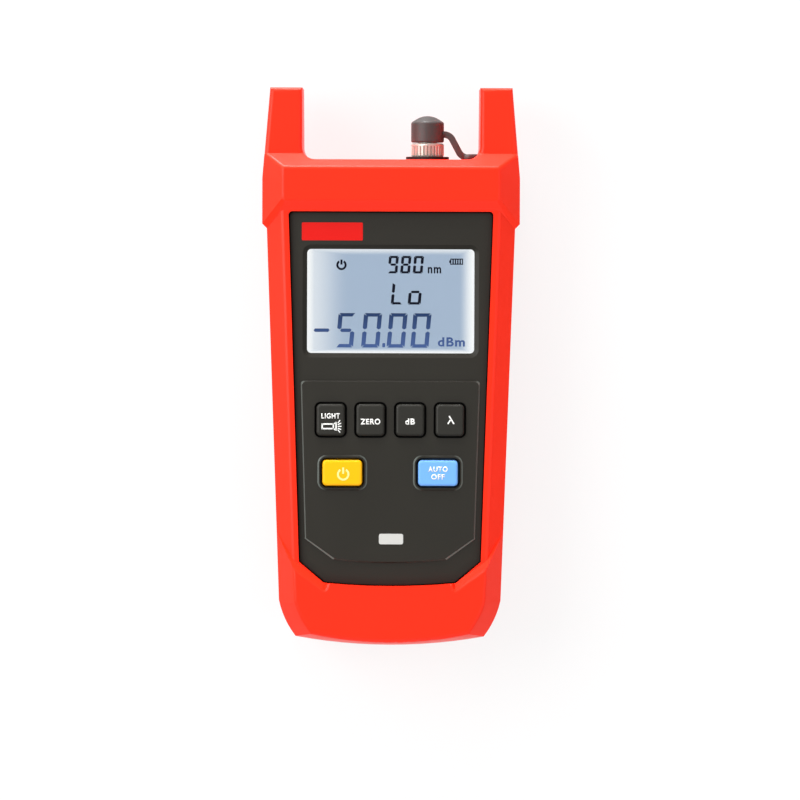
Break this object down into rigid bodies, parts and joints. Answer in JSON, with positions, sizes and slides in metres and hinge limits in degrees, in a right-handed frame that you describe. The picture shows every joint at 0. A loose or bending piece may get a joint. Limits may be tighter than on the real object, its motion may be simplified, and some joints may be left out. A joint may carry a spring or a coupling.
{
  "type": "fibre optic tester",
  "caption": "Handheld optical power meter with a display and press keys in a rubber boot whose arms guard a capped fibre port at one end.",
  "frame": {"origin": "under the middle of the meter, on the surface its back lies on", "axes": "+X to the right of the face, +Y towards the optical port, +Z out of the face"},
  "size_m": [0.0808, 0.175, 0.042],
  "materials": {
    "boot_red": "satin moulded elastomer",
    "case_grey": "fine moulded grain",
    "seal_black": "soft seal",
    "window_clear": "clear polycarbonate",
    "display_pale": "liquid crystal glass",
    "frame_pale": "pale moulded bezel",
    "backlight_white": "light guide",
    "strip_grey": "layered conductive rubber",
    "key_dark": "satin key cap",
    "key_yellow": "satin key cap",
    "key_blue": "satin key cap",
    "mat_grey": "silicone",
    "board_green": "solder-masked board",
    "chip_black": "moulded chip",
    "screw_steel": "plated steel",
    "cell_wrap": "plain wrapped can",
    "contact_nickel": "nickel plated",
    "housing_metal": "turned",
    "adapter_nickel": "nickel plated",
    "cap_grey": "soft cap",
    "torch_clear": "clear lens"
  },
  "bodies": {
    "meter": {"rubber_boot": "boot_red", "front_shell": "case_grey", "rear_shell": "case_grey", "battery_door": "case_grey", "case_seal": "seal_black", "door_seal": "seal_black", "port_seal": "seal_black", "display_window": "window_clear", "display_frame": "frame_pale", "display_glass": "display_pale", "backlight_plate": "backlight_white", "contact_strip": "strip_grey", "keypad_mat": "mat_grey", "main_board": "board_green", "detector_board": "board_green", "board_chips": "chip_black", "case_screws": "screw_steel", "board_screws": "screw_steel", "door_screws": "screw_steel", "battery_cell_left": "cell_wrap", "battery_cell_middle": "cell_wrap", "battery_cell_right": "cell_wrap", "nub_contacts": "contact_nickel", "spring_contacts": "contact_nickel", "detector_housing": "housing_metal", "photodiode": "contact_nickel", "cap_strap": "cap_grey", "strap_rivet": "screw_steel", "torch_lens": "torch_clear", "torch_led": "torch_clear"},
    "light_key_body": {"light_key": "key_dark"},
    "zero_key_body": {"zero_key": "key_dark"},
    "decibel_key_body": {"decibel_key": "key_dark"},
    "wavelength_key_body": {"wavelength_key": "key_dark"},
    "power_key_body": {"power_key": "key_yellow"},
    "auto_off_key_body": {"auto_off_key": "key_blue"},
    "adapter_body": {"port_adapter": "adapter_nickel"},
    "cap_body": {"dust_cap": "cap_grey"}
  },
  "joints": [
    {"name": "light_key_press", "type": "slide", "parent": "meter", "child": "light_key_body", "axis": [0, 0, -1], "range_m": [0, 0.0008], "stiffness_N_per_m": 800, "deforming": ["keypad_mat"]},
    {"name": "zero_key_press", "type": "slide", "parent": "meter", "child": "zero_key_body", "axis": [0, 0, -1], "range_m": [0, 0.0008], "stiffness_N_per_m": 800, "deforming": ["keypad_mat"]},
    {"name": "decibel_key_press", "type": "slide", "parent": "meter", "child": "decibel_key_body", "axis": [0, 0, -1], "range_m": [0, 0.0008], "stiffness_N_per_m": 800, "deforming": ["keypad_mat"]},
    {"name": "wavelength_key_press", "type": "slide", "parent": "meter", "child": "wavelength_key_body", "axis": [0, 0, -1], "range_m": [0, 0.0008], "stiffness_N_per_m": 800, "deforming": ["keypad_mat"]},
    {"name": "power_key_press", "type": "slide", "parent": "meter", "child": "power_key_body", "axis": [0, 0, -1], "range_m": [0, 0.0008], "stiffness_N_per_m": 800, "deforming": ["keypad_mat"]},
    {"name": "auto_off_key_press", "type": "slide", "parent": "meter", "child": "auto_off_key_body", "axis": [0, 0, -1], "range_m": [0, 0.0008], "stiffness_N_per_m": 800, "deforming": ["keypad_mat"]},
    {"name": "adapter_turn", "type": "hinge", "parent": "meter", "child": "adapter_body", "pos_m": [0.01145, 0.0682, 0.022], "axis": [0, 1, 0], "continuous": true},
    {"name": "cap_pull", "type": "slide", "parent": "meter", "child": "cap_body", "axis": [0, 1, 0], "range_m": [0, 0.0065], "deforming": ["cap_strap"]}
  ]
}
